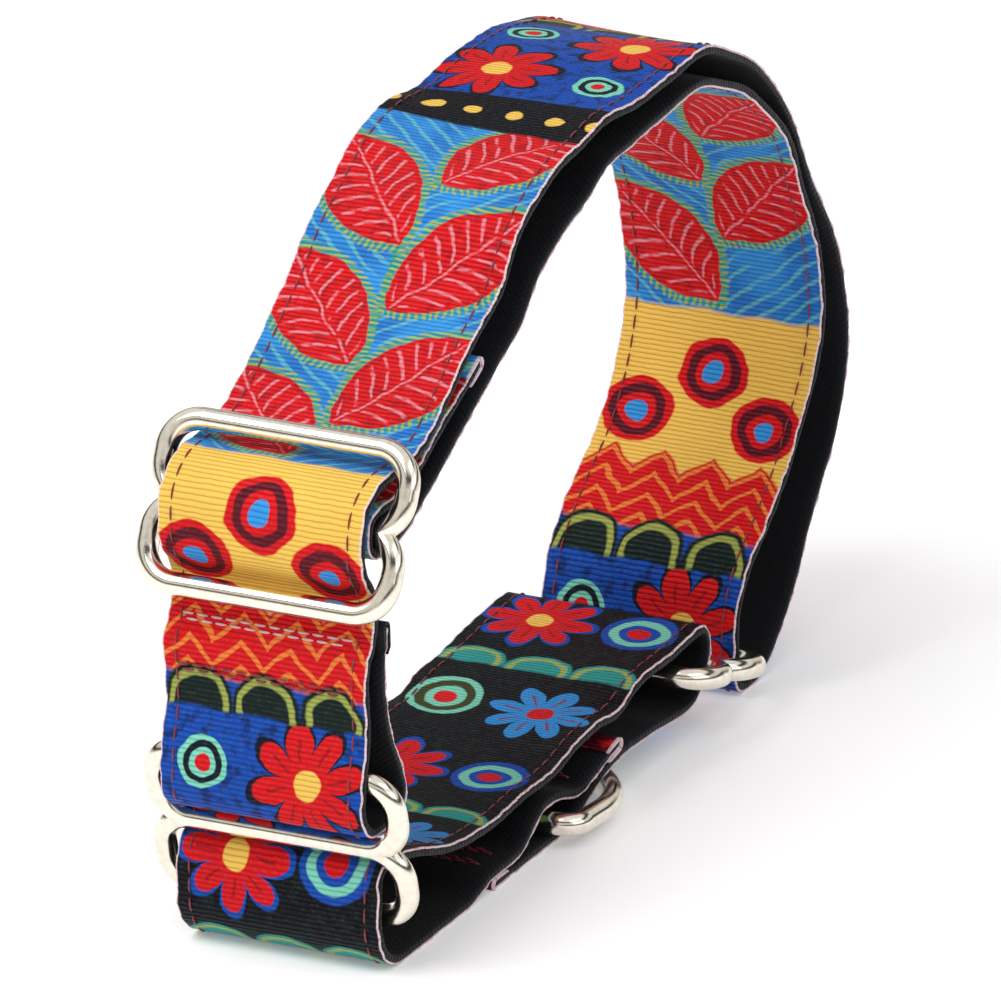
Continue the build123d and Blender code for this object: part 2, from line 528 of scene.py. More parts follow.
class PrintMaker:
    """Draws a ribbon's print as one node group."""

    def __init__(self, name: str, motifs: Motifs, ground: str) -> None:
        """Starts the group.

        Args:
            name: The group's name.
            motifs: The shared node groups.
            ground: The dye under everything.
        """
        self.group = Group(name, {"Along": 0, "Across": 0}, {"Colour": "Color"})
        self.motifs = motifs
        self.tree = self.group.tree
        self.along = self.group.take("Along")
        self.across = self.group.take("Across")
        self.paint = Paint(self.tree, ground)
        self.mottle = noise(self.tree, self.along, self.across, 0.42, 4.0)

    def repeat(self, start: float, length: float) -> None:
        """Repeats all that follows along the strap.

        Args:
            start: Where one repeat starts.
            length: The length of the repeat.
        """
        self.along = (self.along - start).calc("WRAP", length, 0.0)

    def waver(self, depth: float = 1.3) -> None:
        """Makes all that follows look drawn by hand.

        Args:
            depth: How far the lines stray, in millimetres.
        """
        one = noise(self.tree, self.along, self.across, 0.13, 2.0) - 0.5
        two = noise(self.tree, self.across, self.along, 0.16, 2.0) - 0.5
        fine = noise(self.tree, self.along, self.across, 1.3, 1.0) - 0.5
        self.along = self.along + one * (2 * depth) + fine * 0.15
        self.across = self.across + two * (2 * depth) + fine * 0.15

    def put(self, group: Tree, spot: Spot) -> dict[str, Field]:
        """Places a motif's group at a spot.

        Args:
            group: The motif.
            spot: Its place, turn and size.

        Returns:
            The motif's masks.
        """
        x, y = spot.local(self.along, self.across)
        return place_group(self.tree, group, X=x, Y=y, **dict(spot.size))

    def leaf(self, spot: Spot) -> None:
        """Lays one leaf.

        Args:
            spot: Its foot, turn and size.
        """
        masks = self.put(self.motifs.leaf, spot)
        body = masks["Body"]
        self.paint.lay(Dye.TEAL, masks["Rim"], 0.8)
        self.paint.lay(Dye.LIME, masks["Fringe"], 0.85)
        self.paint.lay(Dye.RED, body)
        self.paint.lay(Dye.DEEP_RED, body * self.mottle.over(0.56, 0.14), 0.5)
        self.paint.lay(Dye.ROSE, masks["Veins"] * body * self.mottle.over(0.4, 0.14), 0.62)

    def rings(self, along: float, across: float, radius: float,
              dyes: tuple[str, str, str]) -> None:
        """Lays one round spot.

        Args:
            along: Its middle along the strap.
            across: Its middle across the strap.
            radius: Its size.
            dyes: The dyes of the disc, the ring and the core.
        """
        masks = self.put(self.motifs.rings, Spot(along, across, 0, (("Radius", radius),)))
        for label, colour in zip(("Disc", "Ring", "Core"), dyes):
            self.paint.lay(colour, masks[label])

    def daisy(self, along: float, across: float, radius: float,
              dyes: tuple[str, str, str]) -> None:
        """Lays one flower, turned by an angle of its own.

        Args:
            along: Its middle along the strap.
            across: Its middle across the strap.
            radius: Its size.
            dyes: The dyes of the halo, the petals and the core.
        """
        masks = self.put(self.motifs.daisy,
                         Spot(along, across, along * 7, (("Radius", radius),)))
        halo, petals, core = dyes
        self.paint.lay(halo, masks["Halo"])
        self.paint.lay(petals, masks["Petal"])
        self.paint.lay(Dye.DEEP_RED, masks["Crease"], 0.8)
        self.paint.lay(core, masks["Core"])

    def scallops(self, foot: float, depth: float, body: str, band: Field) -> None:
        """Lays a row of scallops across the strap.

        Args:
            foot: Where their round tops start.
            depth: How deep they are.
            body: Their dye.
            band: Where they may show.
        """
        masks = place_group(self.tree, self.motifs.scallop, Along=self.along - foot,
                            Across=self.across, Pitch=SCALLOP_PITCH, Depth=depth)
        self.paint.lay(body, masks["Body"] * band)
        self.paint.lay(Dye.LIME, masks["Rim"] * band, 0.9)

    def vine(self, feet: Sequence[float], length: float, width: float) -> None:
        """Lays leaves by turns on both sides of the middle line.

        Args:
            feet: Where the leaves leave the stem.
            length: The length of a leaf.
            width: Half the width of a leaf.
        """
        for number, foot in enumerate(feet):
            side = 1 if number % 2 else -1
            self.leaf(Spot(foot, side, side * LEAF_TURN,
                           (("Length", length), ("Width", width))))

    def finish(self) -> Tree:
        """Ends the group."""
        return self.group.give(Colour=self.paint.colour)


def main_print(motifs: Motifs, start: float, repeat: float) -> Tree:
    """The main strap's print: bands of daisies, scallops, zigzags, rings and leaves.

    Args:
        motifs: The shared node groups.
        start: Where a repeat starts along the strap, in millimetres.
        repeat: The length of one repeat.

    Returns:
        The node group.
    """
    p = PrintMaker("main_print", motifs, Dye.SKY)
    p.repeat(start, repeat)
    p.waver()
    u, v = p.along, p.across
    cloud = noise(p.tree, u, v, 0.09, 3.0)
    # blue ground under the leaves
    p.paint.lay(Dye.ROYAL, cloud.over(0.52, 0.2), 0.55)
    p.paint.lay(Dye.MINT, (u - v.size() * 0.8).wave(3.6).over(1.35, 0.3) * cloud.over(0.45, 0.1),
                0.45)
    # daisies on deep blue
    deep = u.under(46.0, 1.0)
    p.paint.lay(Dye.ROYAL, deep)
    p.paint.lay(Dye.NAVY, deep * p.mottle.over(0.56, 0.12), 0.6)
    for along, across in ((11, -8.5), (30, 8.5)):
        p.daisy(along, across, 10.5, (Dye.NAVY, Dye.RED, Dye.YELLOW))
    for along, across in ((10, 11), (31, -11)):
        p.rings(along, across, 4.6, (Dye.MINT, Dye.NAVY, Dye.RED))
    # rings on yellow
    p.paint.lay(Dye.YELLOW, u.over(58.0, 1.0) * u.under(90.0, 1.0))
    for along, across in ((70, -12.5), (79, 0), (70, 12.5)):
        p.rings(along, across, 6.6, (Dye.RED, Dye.MAROON, Dye.SKY))
    # zigzags on red
    red = u.over(46.0, 1.0) * (u - v.wave(9.5)).under(58.0, 0.8)
    p.paint.lay(Dye.RED, red)
    p.paint.lay(Dye.ORANGE, red * (u - v.wave(9.5)).wave(4.2).over(1.55, 0.3), 0.85)
    # scallops
    p.scallops(41.0, 7.0, Dye.FOREST, u.over(40.0, 0.6) * u.under(49.0, 0.6))
    # leaves
    stem = (v - (u * 0.12).calc("SINE")).size().under(0.7, 0.4)
    p.paint.lay(Dye.TEAL, stem * u.over(91.0) * u.under(172.0))
    p.vine(range(92, 160, 13), 29.0, 8.2)
    # dots on black
    p.paint.lay(Dye.BLACK, u.over(repeat - 13.0, 0.8))
    dots = (u - (repeat - 6.5)).reach((v + 3.8).wave(7.6)).under(1.7)
    p.paint.lay(Dye.YELLOW, dots)
    return p.finish()


def control_print(motifs: Motifs, start: float, repeat: float) -> Tree:
    """The control strap's print: daisies and rings on black.

    Args:
        motifs: The shared node groups.
        start: Where a repeat starts along the strap, in millimetres.
        repeat: The length of one repeat.

    Returns:
        The node group.
    """
    p = PrintMaker("control_print", motifs, Dye.BLACK)
    p.repeat(start, repeat)
    p.waver(0.9)
    u, v = p.along, p.across
    p.paint.lay(Dye.FOREST, p.mottle.over(0.55, 0.12), 0.6)
    p.daisy(13, -8.0, 10.0, (Dye.ROYAL, Dye.RED, Dye.YELLOW))
    p.daisy(repeat - 20, 8.0, 10.0, (Dye.NAVY, Dye.SKY, Dye.RED))
    p.rings(14, 10.5, 6.8, (Dye.ROYAL, Dye.MINT, Dye.RED))
    p.rings(repeat - 19, -10.5, 6.8, (Dye.MINT, Dye.OLIVE, Dye.RED))
    p.scallops(repeat - 5.0, 4.6, Dye.TEAL, u.over(repeat - 6.0, 0.6))
    return p.finish()


def hem_print(name: str, motifs: Motifs, ground: str, spots: str) -> Tree:
    """The little of the print that shows on a folded end.

    Args:
        name: The group's name.
        motifs: The shared node groups.
        ground: Its main colour: a dye on the blue fold, and on the red fold a maroon that is
            painted shade over red print.
        spots: The dye of its patches.

    Returns:
        The node group.
    """
    p = PrintMaker(name, motifs, ground)
    cloud = noise(p.tree, p.along, p.across, 0.16, 3.0)
    p.paint.lay(spots, cloud.over(0.55, 0.06))
    p.paint.lay(Dye.NAVY, cloud.under(0.36, 0.05))
    return p.finish()


# ---- finishes ----
@dataclass(frozen=True)
class RibbonFinish:
    """Printed grosgrain ribbon with raw pale edges."""

    name: str
    print_group: Tree
    rib_pitch: float = 0.9
    edge_from: float = 18.62
    roughness: float = 0.42

    def make(self, motifs: Motifs) -> Look:
        """Builds the material.

        Args:
            motifs: The shared node groups.

        Returns:
            The material.
        """
        material, tree, shader = new_material(self.name)
        u, v = strap_place(tree)
        print_colour = place_group(tree, self.print_group, Along=u, Across=v)["Colour"]
        ribs = place_group(tree, motifs.grosgrain, Along=u, Across=v, Pitch=self.rib_pitch)
        wear = place_group(tree, motifs.wear, Along=u, Across=v)
        paint = Paint(tree, print_colour)
        # painted shade: navy in the grooves between the ribs
        paint.lay(Dye.NAVY, ribs["Groove"], 0.25)
        # painted highlight: a faint near-white on the rib crests, broken up by the yarn grain
        crest_highlight = ribs["Height"].over(0.93, 0.16)
        paint.lay("FFF1EC", crest_highlight * wear["Grain"].over(0.46, 0.2), 0.02)
        paint.lay(Dye.PINK, wear["Grain"].over(0.62, 0.1) * ribs["Height"], 0.015)
        paint.lay(Dye.BLACK, wear["Fade"].over(0.55, 0.4), 0.1)
        edge = v.size().over(self.edge_from, 0.2)
        paint.lay("F3DADF", edge * wear["Grain"].calc("MULTIPLY_ADD", 0.6, 0.62, clamp=True))
        paint.lay(Dye.DEEP_RED, edge * wear["Grain"].over(0.6, 0.06), 0.5)
        feed(shader, {
            "Base Color": paint.colour,
            "Roughness": ribs["Height"] * -0.1 + wear["Grain"] * 0.14 + self.roughness,
            "Specular IOR Level": 0.08,
        })
        relief(tree, shader, ribs["Height"], 0.2 * MM, 0.95)
        return material


@dataclass(frozen=True)
class WebbingFinish:
    """Black woven webbing with a faint sheen."""

    name: str = "black_webbing"
    pitch: float = 0.62
    dark: str = "040508"
    light: str = "101219"

    def make(self, motifs: Motifs) -> Look:
        """Builds the material.

        Args:
            motifs: The shared node groups.

        Returns:
            The material.
        """
        material, tree, shader = new_material(self.name)
        u, v = strap_place(tree)
        weave = place_group(tree, motifs.weave, Along=u, Across=v, Pitch=self.pitch)
        wear = place_group(tree, motifs.wear, Along=u, Across=v)
        paint = Paint(tree, self.dark)
        paint.lay(self.light, weave["Shade"], 0.8)
        paint.lay("262833", wear["Edge"], 0.5)
        paint.lay("1D1A24", wear["Grain"].over(0.66, 0.08), 0.4)
        feed(shader, {
            "Base Color": paint.colour,
            "Roughness": wear["Grain"] * 0.2 + 0.62,
            "Sheen Weight": 0.06,
            "Sheen Roughness": 0.4,
            "Specular IOR Level": 0.25,
        })
        relief(tree, shader, weave["Height"], 0.12 * MM, 0.7)
        return material


@dataclass(frozen=True)
class ThreadFinish:
    """Twisted sewing thread."""

    name: str
    colour: str
    shade: str

    def make(self, motifs: Motifs) -> Look:
        """Builds the material.

        Args:
            motifs: The shared node groups.

        Returns:
            The material.
        """
        material, tree, shader = new_material(self.name)
        u, v = strap_place(tree)
        twist = place_group(tree, motifs.weave, Along=u + v * 0.7, Across=v, Pitch=0.3)
        wear = place_group(tree, motifs.wear, Along=u, Across=v)
        paint = Paint(tree, self.colour)
        paint.lay(self.shade, twist["Shade"], 0.7)
        paint.lay(Dye.PINK, wear["Grain"].over(0.64, 0.1), 0.15)
        feed(shader, {
            "Base Color": paint.colour,
            "Roughness": twist["Shade"] * 0.2 + 0.45,
            "Sheen Weight": 0.2,
        })
        relief(tree, shader, twist["Height"], 0.05 * MM, 0.6)
        return material


@dataclass(frozen=True)
class NickelFinish:
    """Polished nickel plate on cast wire, with fine handling marks."""

    name: str = "polished_nickel"
    bright: str = "F3ECDD"
    dull: str = "CFC6B2"
    roughness: float = 0.09

    def make(self, motifs: Motifs) -> Look:
        """Builds the material.

        Args:
            motifs: The shared node groups.

        Returns:
            The material.
        """
        material, tree, shader = new_material(self.name)
        where = tree.nodes.new("ShaderNodeTexCoord")
        parts = tree.nodes.new("ShaderNodeSeparateXYZ")
        tree.links.new(where.outputs["Object"], parts.inputs[0])
        x, y, z = (Field(tree, parts.outputs[i]) * PER_METRE for i in range(3))
        wear = place_group(tree, motifs.wear, Along=x + z * 0.6, Across=y + z * 0.8,
                           Half_width=99.0)
        fine = noise_at(tree, where.outputs["Object"], 700.0, 3.0)
        paint = Paint(tree, self.bright)
        paint.lay(self.dull, fine.over(0.56, 0.3), 0.4)
        feed(shader, {
            "Base Color": paint.colour,
            "Metallic": 1.0,
            "Roughness": wear["Grain"] * 0.08 + fine * 0.07 + self.roughness,
        })
        relief(tree, shader, fine + wear["Fade"], 0.04 * MM, 0.2)
        return material


def new_material(name: str) -> tuple[Look, Tree, Node]:
    """Starts a node material.

    Args:
        name: The material's name.

    Returns:
        The material, its tree and its shader.
    """
    material = bpy.data.materials.new(name)
    material.use_nodes = True
    tree = material.node_tree
    return material, tree, tree.nodes["Principled BSDF"]


def feed(shader: Node, values: "dict[str, Field | float | tuple]") -> None:
    """Links or sets a shader's inputs.

    Args:
        shader: The shader.
        values: A field or a constant for each input.
    """
    for label, value in values.items():
        if isinstance(value, Field):
            value.tree.links.new(value.socket, shader.inputs[label])
        else:
            shader.inputs[label].default_value = value


def strap_place(tree: Tree) -> tuple[Field, Field]:
    """Place along and across a strap, in millimetres.

    Args:
        tree: Where the nodes go.

    Returns:
        Along and across.
    """
    place = tree.nodes.new("ShaderNodeUVMap")
    place.uv_map = "strap"
    parts = tree.nodes.new("ShaderNodeSeparateXYZ")
    tree.links.new(place.outputs[0], parts.inputs[0])
    along, across = (Field(tree, parts.outputs[i]) * PER_METRE for i in (0, 1))
    return along, across


def relief(tree: Tree, shader: Node, height: Field, depth: float,
           strength: float) -> None:
    """Feeds a height to the shader's normal.

    Args:
        tree: The material's tree.
        shader: The shader.
        height: The height, from 0 to about 1.
        depth: How deep it is, in metres.
        strength: How strongly it shows.
    """
    bump = tree.nodes.new("ShaderNodeBump")
    bump.inputs["Distance"].default_value = depth
    bump.inputs["Strength"].default_value = strength
    tree.links.new(height.socket, bump.inputs["Height"])
    tree.links.new(bump.outputs[0], shader.inputs["Normal"])


# ---- strap geometry ----
def show(name: str, data: bpy.types.ID) -> Thing:
    """Puts a mesh, light or camera into the scene.

    Args:
        name: The object's name.
        data: The mesh, light or camera.

    Returns:
        The object.
    """
    made = bpy.data.objects.new(name, data)
    bpy.context.scene.collection.objects.link(made)
    return made


def outline_of(node: str) -> Array:
    """The outline of a CAD length's side face.

    Args:
        node: The CAD node.

    Returns:
        Its corners in order, as rows of (y, z) in metres.
    """
    mesh = frame["nodes"][node].data
    mesh.calc_loop_triangles()
    points = np.array([v.co for v in mesh.vertices], float)
    _, first, same = np.unique(np.round(points * 1e6), axis=0, return_index=True,
                               return_inverse=True)
    same = same.reshape(-1)
    side = points[:, 0] > points[:, 0].max() - 1e-6
    count: dict[tuple[int, int], int] = {}
    for triangle in mesh.loop_triangles:
        corners = list(triangle.vertices)
        if not all(side[c] for c in corners):
            continue
        a, b, c = (int(same[i]) for i in corners)
        for pair in ((a, b), (b, c), (c, a)):
            key = tuple(sorted(pair))
            count[key] = count.get(key, 0) + 1
    joined: dict[int, list[int]] = {}
    for (a, b), times in count.items():
        if times == 1:
            joined.setdefault(a, []).append(b)
            joined.setdefault(b, []).append(a)
    walk = [min(joined)]
    came = -1
    while True:
        here = walk[-1]
        ahead = [n for n in joined[here] if n != came]
        came = here
        if ahead[0] == walk[0] or len(walk) > len(joined):
            break
        walk.append(ahead[0])
    return points[first[walk]][:, 1:]


def long_sides(outline: Array) -> tuple[Array, Array]:
    """Splits a ply's outline at its two cut ends.

    Args:
        outline: The closed outline.

    Returns:
        The two long sides, in the same direction.
    """
    back = outline - np.roll(outline, 1, axis=0)
    ahead = np.roll(outline, -1, axis=0) - outline
    turn = np.abs(np.arctan2(back[:, 0] * ahead[:, 1] - back[:, 1] * ahead[:, 0],
                             (back * ahead).sum(1)))
    corners = sorted(np.argsort(-turn)[:4])
    runs = []
    for i in range(4):
        a, b = corners[i], corners[(i + 1) % 4]
        steps = np.arange(a, b + 1 if b > a else b + 1 + len(outline)) % len(outline)
        runs.append(outline[steps])
    lengths = [np.linalg.norm(np.diff(r, axis=0), axis=1).sum() for r in runs]
    odd = lengths[0] + lengths[2] > lengths[1] + lengths[3]
    one, two = (runs[0], runs[2]) if odd else (runs[1], runs[3])
    return one, two[::-1]


def even_points(points: Array, step: float) -> Array:
    """Points evenly spaced along a line.

    Args:
        points: The line's points.
        step: The wanted spacing in metres.

    Returns:
        The new points.
    """
    gone = np.concatenate([[0], np.cumsum(np.linalg.norm(np.diff(points, axis=0), axis=1))])
    at = np.linspace(0, gone[-1], max(2, int(round(gone[-1] / step)) + 1))
    return np.stack([np.interp(at, gone, points[:, i]) for i in range(points.shape[1])], 1)


def nearest_on(line: Array, points: Array) -> Array:
    """The nearest place on a line to each point.

    Args:
        line: The line's points.
        points: The points.

    Returns:
        A place on the line for each point.
    """
    start, run = line[:-1], np.diff(line, axis=0)
    square = np.maximum((run ** 2).sum(1), 1e-18)
    share = np.clip(((points[:, None] - start) * run).sum(2) / square, 0, 1)
    foot = start + share[..., None] * run
    best = np.argmin(((foot - points[:, None]) ** 2).sum(2), axis=1)
    return foot[np.arange(len(points)), best]


@dataclass
class Ripple:
    """The small waves of a strap's edges, which fade out at the metal and the floor."""

    height: float = 0.95 * MM
    clear: float = 2.6 * MM
    fade: float = 9.0 * MM
    tree: KDTree = field(init=False)

    def __post_init__(self) -> None:
        """Gathers the metal's surface points."""
        points = [v.co for name in HARDWARE for v in frame["nodes"][name].data.vertices]
        self.tree = KDTree(len(points))
        for i, point in enumerate(points):
            self.tree.insert(point, i)
        self.tree.balance()
        self.middle = np.array([0.0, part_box("outer_ply_right_webbing")[1].z * 0.52])

    def calm(self, line: Array) -> Array:
        """How freely each point of a middle line may wave.

        Args:
            line: Points as rows of (y, z).

        Returns:
            A share from 0 to 1 for each point.
        """
        gaps = np.array([min(self.tree.find((x, y, z))[2] for x in (-0.015, 0.0, 0.015))
                         for y, z in line])
        free = np.clip((gaps - self.clear) / self.fade, 0, 1)
        lifted = np.clip((line[:, 1] - 2.5 * MM) / (8 * MM), 0, 1)
        return (free * free * (3 - 2 * free)) * lifted

    def shift(self, x: Array, line: Array, share: Array) -> Array:
        """How far each point is moved.

        Args:
            x: Place across the strap.
            line: The matching points of the middle line.
            share: How freely each may wave.

        Returns:
            Moves as rows of (y, z).
        """
        out = line - self.middle
        radius = np.maximum(np.linalg.norm(out, axis=1), 1e-6)
        arc = np.arctan2(out[:, 1], out[:, 0]) * 0.07
        t = x / HALF_WIDTH
        # a long wave that tilts the strap, one that lifts both edges, and a fine one
        wave = (np.sin(arc / 0.0056 + 1.1) * t * 0.55
                + np.sin(arc / 0.0091 + 0.4) * t * t * 0.65
                + np.sin(arc / 0.0031 + 2.3 + t) * t * t * 0.22 - t * t * 0.25)
        return out / radius[:, None] * (wave * self.height * share)[:, None]


class StrapLine:
    """The middle line of one strap, from end to end."""

    def __init__(self, order: Sequence[str], ripple: Ripple, step: float = 0.7 * MM) -> None:
        """Reads the line from the CAD lengths.

        Args:
            order: The strap's lengths in order.
            ripple: The waves of its edges.
            step: The spacing of its stations.
        """
        self.ripple = ripple
        dense_step = step / 2
        pieces = []
        bounds = [0]
        for name in order:
            one, two = long_sides(outline_of(f"{name}_webbing"))
            dense = even_points(one, dense_step)
            facing = nearest_on(two, dense)
            line = (dense + facing) / 2
            ribbon = np.array([[v.co.y, v.co.z] for v in
                               frame["nodes"][f"{name}_ribbon"].data.vertices])
            mid = len(line) // 2
            towards = nearest_points(ribbon, line[mid:mid + 1])[0] - line[mid]
            ahead = line[mid + 1] - line[mid - 1]
            if ahead[0] * towards[1] - ahead[1] * towards[0] < 0:
                line = line[::-1]
            pieces.append(line)
            bounds.append(bounds[-1] + len(line))
        joined = np.concatenate(pieces)
        raw = np.concatenate([[0], np.cumsum(np.linalg.norm(np.diff(joined, axis=0), axis=1))])
        self.points = even_points(smooth_line(even_points(joined, dense_step), 2.4), step)
        ahead = np.gradient(self.points, axis=0)
        ahead /= np.linalg.norm(ahead, axis=1)[:, None]
        self.normal = np.stack([-ahead[:, 1], ahead[:, 0]], 1)
        self.along = np.arange(len(self.points)) * step
        self.length = float(self.along[-1])
        self.share = ripple.calm(self.points)
        scale = self.length / raw[-1]
        self.starts = {name: float(raw[min(b, len(raw) - 1)] * scale)
                       for name, b in zip(order, bounds)}

    def spot(self, along: Array, across: Array, height: Array) -> Array:
        """Places points on the strap.

        Args:
            along: Distance from the strap's first end.
            across: Distance from the middle of its width.
            height: Distance from the middle of the webbing towards the ribbon.

        Returns:
            Points as rows of (x, y, z).
        """
        def at(values: Array) -> Array:
            """A value of the stations at each point."""
            return np.interp(along, self.along, values)

        line = np.stack([at(self.points[:, 0]), at(self.points[:, 1])], 1)
        normal = np.stack([at(self.normal[:, 0]), at(self.normal[:, 1])], 1)
        normal /= np.maximum(np.linalg.norm(normal, axis=1), 1e-6)[:, None]
        past = along - np.clip(along, 0, self.length)
        ahead = np.column_stack([normal[:, 1], -normal[:, 0]])
        share = at(self.share)
        moved = line + ahead * past[:, None] + normal * height[:, None]
        moved = moved + self.ripple.shift(across, line, share)
        drift = np.sin(along / 0.017) * 0.4 + np.sin(along / 0.0071 + 1.0) * 0.2
        return np.column_stack([across + drift * share * self.ripple.height, moved])

    def along_at(self, point: Sequence[float]) -> tuple[float, float]:
        """The station nearest to a point.

        Args:
            point: The point's y and z.

        Returns:
            Distance along the strap, and on which side of the line the point lies.
        """
        away = np.asarray(point) - self.points
        best = int(np.argmin((away ** 2).sum(1)))
        return float(self.along[best]), float(np.sign((away[best] * self.normal[best]).sum()))


def nearest_points(cloud: Array, points: Array) -> Array:
    """The nearest point of a cloud to each point."""
    return cloud[np.argmin(((cloud[None] - points[:, None]) ** 2).sum(2), axis=1)]


def smooth_line(line: Array, width: float) -> Array:
    """Rounds a line off a little, and keeps its ends.

    Args:
        line: Evenly spaced points.
        width: The spread of the rounding, in points.

    Returns:
        The rounded line.
    """
    reach = int(width * 3)
    taps = np.exp(-0.5 * (np.arange(-reach, reach + 1) / width) ** 2)
    taps /= taps.sum()
    ahead = 2 * line[0] - line[reach:0:-1]
    after = 2 * line[-1] - line[-2:-reach - 2:-1]
    longer = np.concatenate([ahead, line, after])
    return np.stack([np.convolve(longer[:, i], taps, mode="valid") for i in (0, 1)], 1)


def build_mesh(name: str, points: Array, faces: list[Face],
               places: Array) -> Thing:
    """Makes a smooth-shaded object with a strap map.

    Args:
        name: The object's name.
        points: Its points.
        faces: Its faces.
        places: Along and across for each point, in metres.

    Returns:
        The object.
    """
    mesh = bpy.data.meshes.new(name)
    mesh.from_pydata(points.tolist(), [], faces)
    corner = np.zeros(len(mesh.loops), np.int32)
    mesh.loops.foreach_get("vertex_index", corner)
    layer = mesh.uv_layers.new(name="strap")
    layer.data.foreach_set("uv", places[corner].astype(np.float32).reshape(-1))
    mesh.polygons.foreach_set("use_smooth", np.ones(len(mesh.polygons), bool))
    mesh.update()
    return show(name, mesh)


def tube_faces(ring: int, count: int, start: int = 0) -> list[Face]:
    """Faces of a closed tube.

    Args:
        ring: Points round the tube.
        count: Rings along it.
        start: The number of its first point.

    Returns:
        The sides, then the first and the last cap.
    """
    faces: list[Face] = []
    for a in range(start, start + (count - 1) * ring, ring):
        faces += [(a + j, a + (j + 1) % ring, a + ring + (j + 1) % ring, a + ring + j)
                  for j in range(ring)]
    end = start + (count - 1) * ring
    return faces + [tuple(range(start + ring - 1, start - 1, -1)),
                    tuple(range(end, end + ring))]


@dataclass
class Cloth:
    """One layer of a strap, as a closed band with rounded edges."""

    line: StrapLine
    low: float
    high: float
    half_width: float
    fray: float
    columns: int = 20
    seed: int = 7

    def section(self) -> tuple[Array, Array]:
        """The band's cross-section.

        Returns:
            Place across and height of each of its corners, in order round it.
        """
        flat = self.half_width - 0.25 * MM
        across = np.linspace(-flat, flat, self.columns)
        middle, half = (self.low + self.high) / 2, (self.high - self.low) / 2
        angles = np.radians([60, 25, -25, -60])
        bulge_x = flat + np.cos(angles) * 0.25 * MM
        bulge_z = middle + np.sin(angles) * half
        xs = np.concatenate([across, bulge_x, across[::-1], -bulge_x[::-1]])
        zs = np.concatenate([np.full(self.columns, self.high), bulge_z,
                             np.full(self.columns, self.low), bulge_z[::-1]])
        return xs, zs

    def build(self, name: str) -> Thing:
        """Makes the band's mesh.

        Args:
            name: The piece's name.

        Returns:
            The piece.
        """
        rng = np.random.RandomState(self.seed)
        xs, zs = self.section()
        ring, count = len(xs), len(self.line.along)
        along = np.repeat(self.line.along, ring)
        across, height = np.tile(xs, count), np.tile(zs, count)
        ragged = np.repeat(smooth_noise(rng, count), ring) * self.fray
        edge = np.clip((np.abs(across) - self.half_width * 0.9) / (self.half_width * 0.1), 0, 1)
        across_worn = across + np.sign(across) * edge * ragged
        points = self.line.spot(along, across_worn, height)
        made = build_mesh(name, points, tube_faces(ring, count),
                          np.column_stack([along, across]))
        LOG.info("%s: %d faces", name, len(made.data.polygons))
        return made


def smooth_noise(rng: np.random.RandomState, count: int, spread: int = 3) -> Array:
    """Random numbers that change smoothly, mostly within -1 and 1."""
    taps = np.ones(spread) / spread
    return np.convolve(rng.uniform(-1, 1, count + spread - 1), taps, mode="valid")


@dataclass
class EndFold:
    """A strap's cut end, wrapped in a fold of its own cloth."""

    line: StrapLine
    at_start: bool
    reach: float = 4.6 * MM
    thickness: float = 0.42 * MM
    top: float = 1.06 * MM
    under: float = -0.62 * MM
    columns: int = 22

    def build(self, name: str) -> Thing:
        """Makes the fold's mesh.

        Args:
            name: The piece's name.

        Returns:
            The piece.
        """
        middle, half = (self.top + self.under) / 2, (self.top - self.under) / 2
        turns = np.linspace(90, -90, 9)
        rounds = np.radians(turns)
        run_out = -np.cos(rounds) * half
        heights = middle + np.sin(rounds) * half
        legs = np.linspace(self.reach, 0.4 * MM, 5)
        along = np.concatenate([legs, run_out, legs[::-1]])
        height = np.concatenate([np.full(5, self.top), heights, np.full(5, self.under)])
        out = np.concatenate([np.full(5, 90.0), turns, np.full(5, -90.0)])
        across = np.linspace(-1, 1, self.columns) * (HALF_WIDTH + 0.15 * MM)
        layers = []
        for thick in (0.0, self.thickness):
            puff = thick * (1 - 0.5 * np.clip(along / self.reach, 0, 1) ** 4)
            layers.append((along - np.cos(np.radians(out)) * puff,
                           height + np.sin(np.radians(out)) * puff))
        run = np.concatenate([layers[1][0], layers[0][0][::-1]])
        rise = np.concatenate([layers[1][1], layers[0][1][::-1]])
        ring = len(run)
        wander = np.sin(across / 0.0037 + 0.6) * 0.25 * MM
        all_run = np.concatenate([run + w * (run > 2 * MM) for w in wander])
        all_rise = np.tile(rise, self.columns)
        all_across = np.repeat(across, ring)
        placed = all_run if self.at_start else self.line.length - all_run
        points = self.line.spot(placed, all_across, all_rise)
        faces = tube_faces(ring, self.columns)
        if self.at_start:
            faces = [face[::-1] for face in faces]
        return build_mesh(name, points, faces, np.column_stack([all_run, all_across]))


